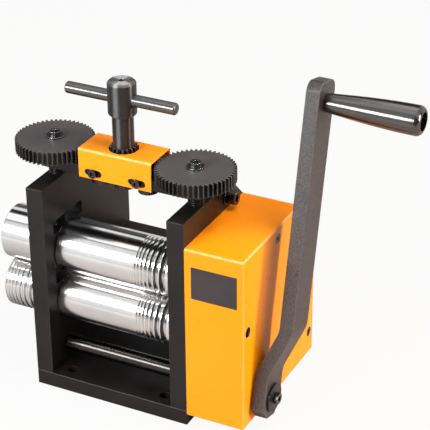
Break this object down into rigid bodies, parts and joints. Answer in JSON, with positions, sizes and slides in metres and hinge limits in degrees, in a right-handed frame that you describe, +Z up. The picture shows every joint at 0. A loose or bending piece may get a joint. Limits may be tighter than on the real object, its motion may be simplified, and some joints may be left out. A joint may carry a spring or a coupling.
{
  "type": "jewellers rolling mill",
  "caption": "Bench rolling mill: two geared rollers between side plates, screw-down gears with a tee handle on top, a gear cover and a long crank at the side.",
  "frame": {"origin": "centre of the base plate's underside", "axes": "+X along the rollers towards the crank, +Y to the back, +Z up"},
  "size_m": [0.3548, 0.1409, 0.2967],
  "materials": {
    "black_plate": "satin black",
    "orange_sheet": "gloss enamel",
    "roller_steel": "ground and polished",
    "gear_steel": "blackened",
    "bush_bronze": "plain",
    "spring_steel": "bright",
    "grey_paint": "fine textured",
    "dark_plate": "matte",
    "blackened_steel": "blackened and polished",
    "black_screw": "black oxide"
  },
  "bodies": {
    "frame": {"base_plate": "black_plate", "base_screws": "black_screw", "left_side_plate": "black_plate", "right_side_plate": "black_plate", "rear_tie_bar": "black_plate", "tie_bar_screws": "black_screw", "upper_tie_rod": "blackened_steel", "tie_rod_screws": "black_screw", "lower_left_block": "blackened_steel", "lower_left_bush": "bush_bronze", "lower_right_block": "blackened_steel", "lower_right_bush": "bush_bronze", "left_shaft_bush": "bush_bronze", "right_shaft_bush": "bush_bronze", "gear_cover": "orange_sheet", "cover_standoffs": "blackened_steel", "cover_screws": "black_screw", "bare_plate": "dark_plate", "return_springs": "spring_steel"},
    "crank": {"drive_shaft": "blackened_steel", "drive_pinion": "gear_steel", "pinion_pin": "blackened_steel", "crank_arm": "grey_paint", "crank_washer": "black_screw", "crank_screw": "black_screw", "grip_spindle": "blackened_steel"},
    "grip": {"handle_grip": "blackened_steel"},
    "lower_rolls": {"lower_roller": "roller_steel", "drive_gear": "gear_steel", "lower_pairing_gear": "gear_steel", "lower_shaft_keys": "blackened_steel", "lower_retaining_ring": "spring_steel", "lower_extension_ring": "roller_steel", "lower_ring_screw": "black_screw"},
    "upper_carriage": {"upper_left_block": "blackened_steel", "upper_left_bush": "bush_bronze", "upper_right_block": "blackened_steel", "upper_right_bush": "bush_bronze"},
    "upper_rolls": {"upper_roller": "roller_steel", "upper_pairing_gear": "gear_steel", "upper_shaft_keys": "blackened_steel", "upper_retaining_ring": "spring_steel", "upper_extension_ring": "roller_steel", "upper_ring_screw": "black_screw"},
    "head": {"bridge_bar": "blackened_steel", "bridge_cover": "orange_sheet", "bridge_cover_screws": "black_screw", "idler_studs": "black_screw"},
    "adjuster": {"tee_handle": "blackened_steel", "cross_bar": "blackened_steel", "adjuster_pinion": "gear_steel", "spindle_retainer": "black_screw"},
    "left_idler": {"left_idler_gear": "gear_steel"},
    "right_idler": {"right_idler_gear": "gear_steel"},
    "left_screw": {"left_pressure_screw": "blackened_steel", "left_screw_gear": "gear_steel", "left_gear_screw": "black_screw"},
    "right_screw": {"right_pressure_screw": "blackened_steel", "right_screw_gear": "gear_steel", "right_gear_screw": "black_screw"}
  },
  "joints": [
    {"name": "crank_turn", "type": "hinge", "parent": "frame", "child": "crank", "pos_m": [0, -0.04215, 0.03085], "axis": [1, 0, 0], "continuous": true},
    {"name": "grip_spin", "type": "hinge", "parent": "crank", "child": "grip", "pos_m": [0.195, 0.01444, 0.27795], "axis": [1, 0, 0], "continuous": true},
    {"name": "lower_roller_turn", "type": "hinge", "parent": "frame", "child": "lower_rolls", "pos_m": [0, -0.03325, 0.077], "axis": [1, 0, 0], "continuous": true},
    {"name": "head_lift", "type": "slide", "parent": "frame", "child": "head", "axis": [0, 0, 1], "range_m": [-0.0005, 0.0063]},
    {"name": "adjust_turn", "type": "hinge", "parent": "head", "child": "adjuster", "pos_m": [0, -0.03325, 0.27], "axis": [0, 0, 1], "range_deg": [-287, 3615]},
    {"name": "left_idler_turn", "type": "hinge", "parent": "head", "child": "left_idler", "pos_m": [-0.02155, -0.03325, 0.217], "axis": [0, 0, 1], "range_deg": [-3214, 256]},
    {"name": "right_idler_turn", "type": "hinge", "parent": "head", "child": "right_idler", "pos_m": [0.02155, -0.03325, 0.217], "axis": [0, 0, 1], "range_deg": [-3214, 256]},
    {"name": "left_screw_turn", "type": "hinge", "parent": "head", "child": "left_screw", "pos_m": [-0.06498, -0.03325, 0.217], "axis": [0, 0, 1], "range_deg": [-91, 1135]},
    {"name": "right_screw_turn", "type": "hinge", "parent": "head", "child": "right_screw", "pos_m": [0.06498, -0.03325, 0.217], "axis": [0, 0, 1], "range_deg": [-91, 1135]},
    {"name": "carriage_lift", "type": "slide", "parent": "frame", "child": "upper_carriage", "axis": [0, 0, 1], "range_m": [-0.0005, 0.0063], "deforming": ["return_springs"]},
    {"name": "upper_roller_turn", "type": "hinge", "parent": "upper_carriage", "child": "upper_rolls", "pos_m": [0, -0.03325, 0.1247], "axis": [1, 0, 0], "continuous": true}
  ],
  "couplings": [
    {"joint": "lower_roller_turn", "follows": "crank_turn", "ratio": -0.51613},
    {"joint": "upper_roller_turn", "follows": "crank_turn", "ratio": 0.51613},
    {"joint": "adjust_turn", "follows": "head_lift", "rad_per_m": 10014},
    {"joint": "left_idler_turn", "follows": "head_lift", "rad_per_m": -8901.2},
    {"joint": "right_idler_turn", "follows": "head_lift", "rad_per_m": -8901.2},
    {"joint": "left_screw_turn", "follows": "head_lift", "rad_per_m": 3141.6},
    {"joint": "right_screw_turn", "follows": "head_lift", "rad_per_m": 3141.6},
    {"joint": "carriage_lift", "follows": "head_lift", "ratio": 1}
  ]
}
